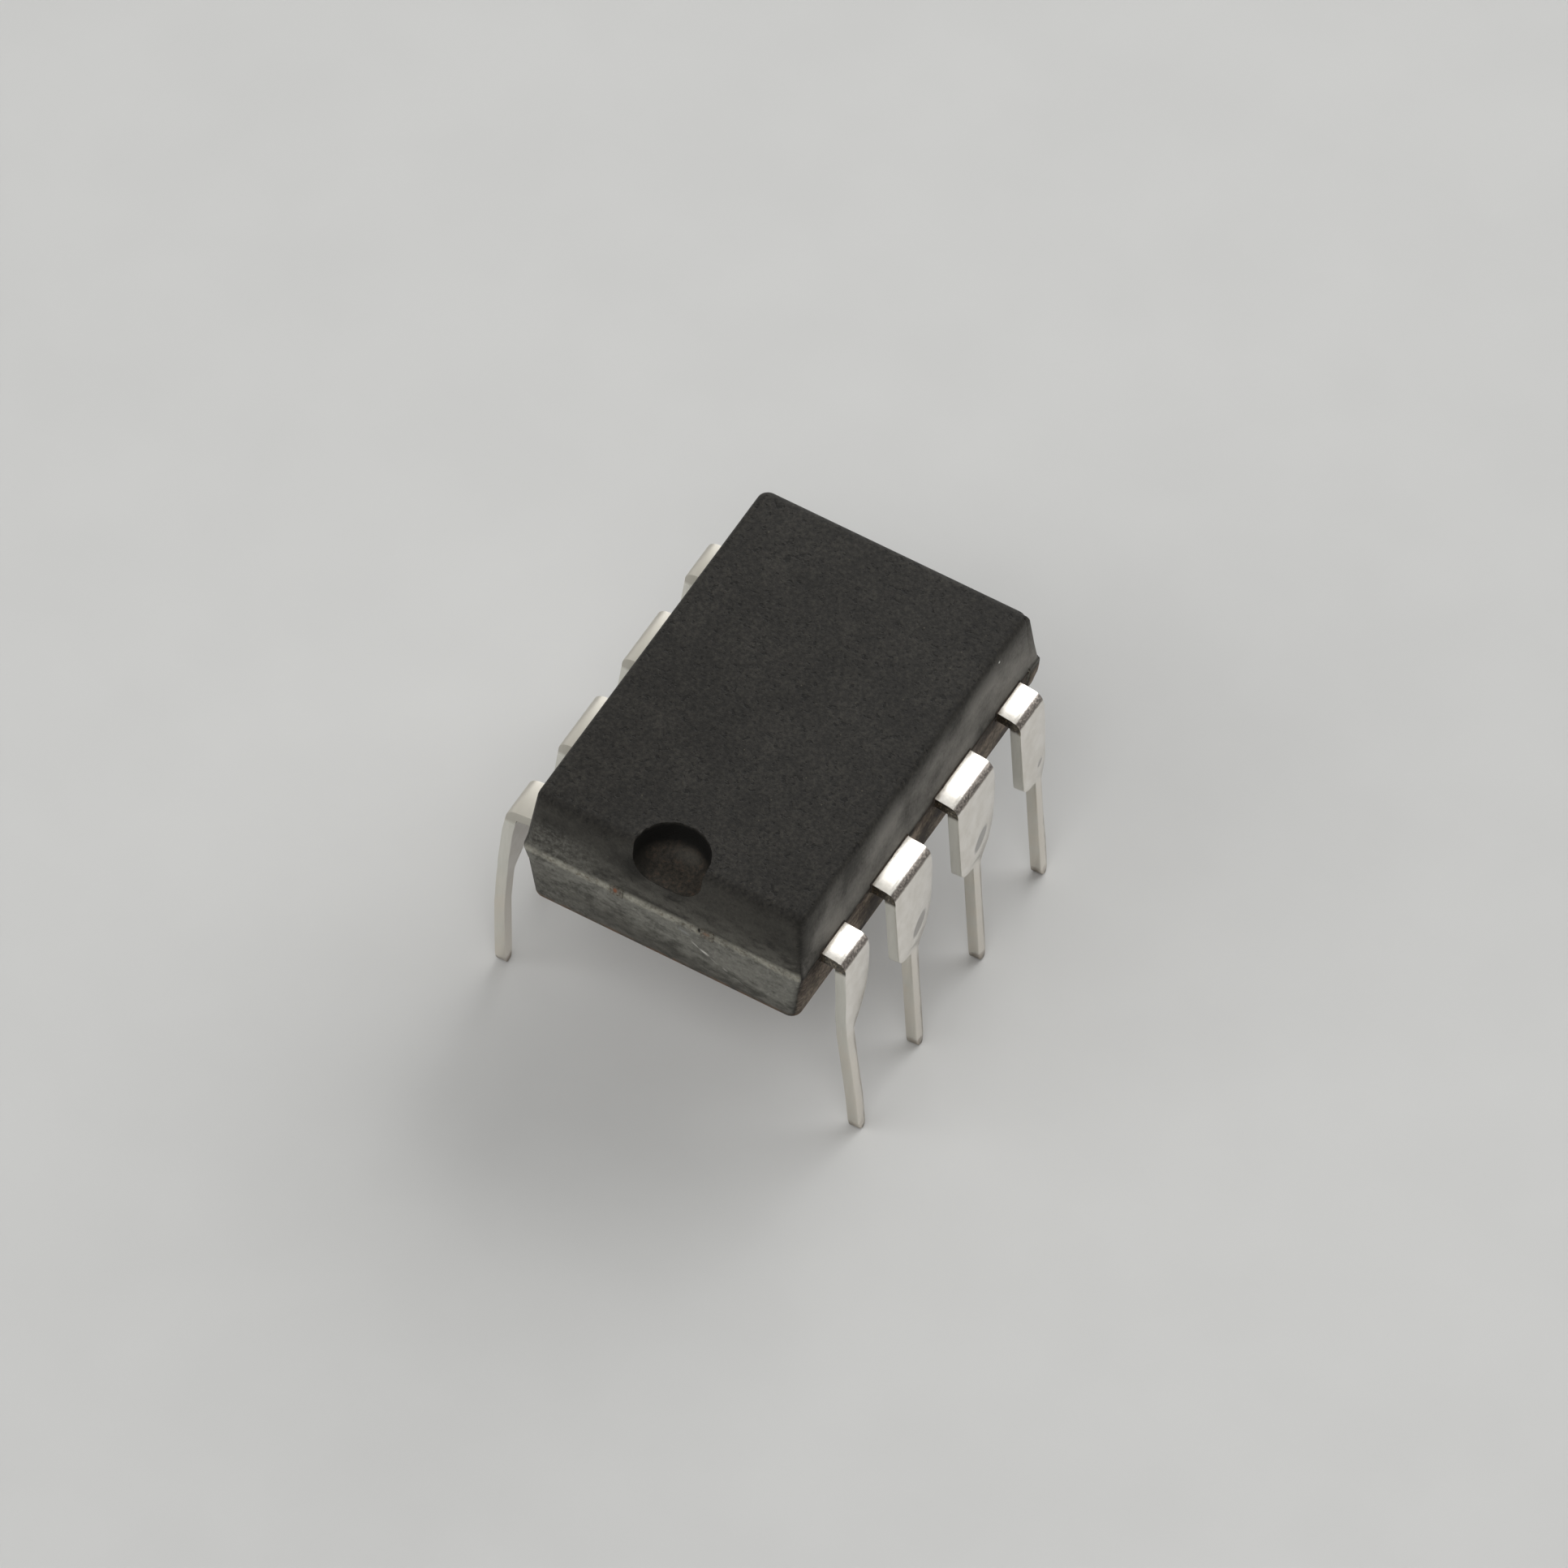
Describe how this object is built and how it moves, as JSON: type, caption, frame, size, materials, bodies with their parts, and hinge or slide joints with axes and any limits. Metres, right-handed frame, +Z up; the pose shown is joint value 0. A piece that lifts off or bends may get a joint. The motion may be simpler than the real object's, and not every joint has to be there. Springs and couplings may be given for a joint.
{
  "type": "dual in-line integrated circuit",
  "caption": "Small through-hole chip: a matt black resin body with an index notch at one end and two rows of bent tin-plated leads that plug into a board or socket.",
  "frame": {"origin": "middle of the lead pattern, level with the lead tips", "axes": "+X along the body, away from its notched end; +Y across the body, towards leads 5 to 8; +Z up, out of the top face"},
  "size_m": [0.0096, 0.0088, 0.0069],
  "materials": {
    "resin": "matt moulded epoxy",
    "tin": "dull tin plating",
    "copper": "bare copper alloy",
    "adhesive": "silver-filled epoxy",
    "silicon": "polished",
    "gold": "drawn gold"
  },
  "bodies": {
    "root": {"moulded_body": "resin", "lead_1": "tin", "lead_2": "tin", "lead_3": "tin", "lead_4": "tin", "lead_5": "tin", "lead_6": "tin", "lead_7": "tin", "lead_8": "tin", "die_paddle": "copper", "die_attach": "adhesive", "silicon_die": "silicon", "bond_wire_1": "gold", "bond_wire_2": "gold", "bond_wire_3": "gold", "bond_wire_4": "gold", "bond_wire_5": "gold", "bond_wire_6": "gold", "bond_wire_7": "gold", "bond_wire_8": "gold"}
  },
  "joints": []
}
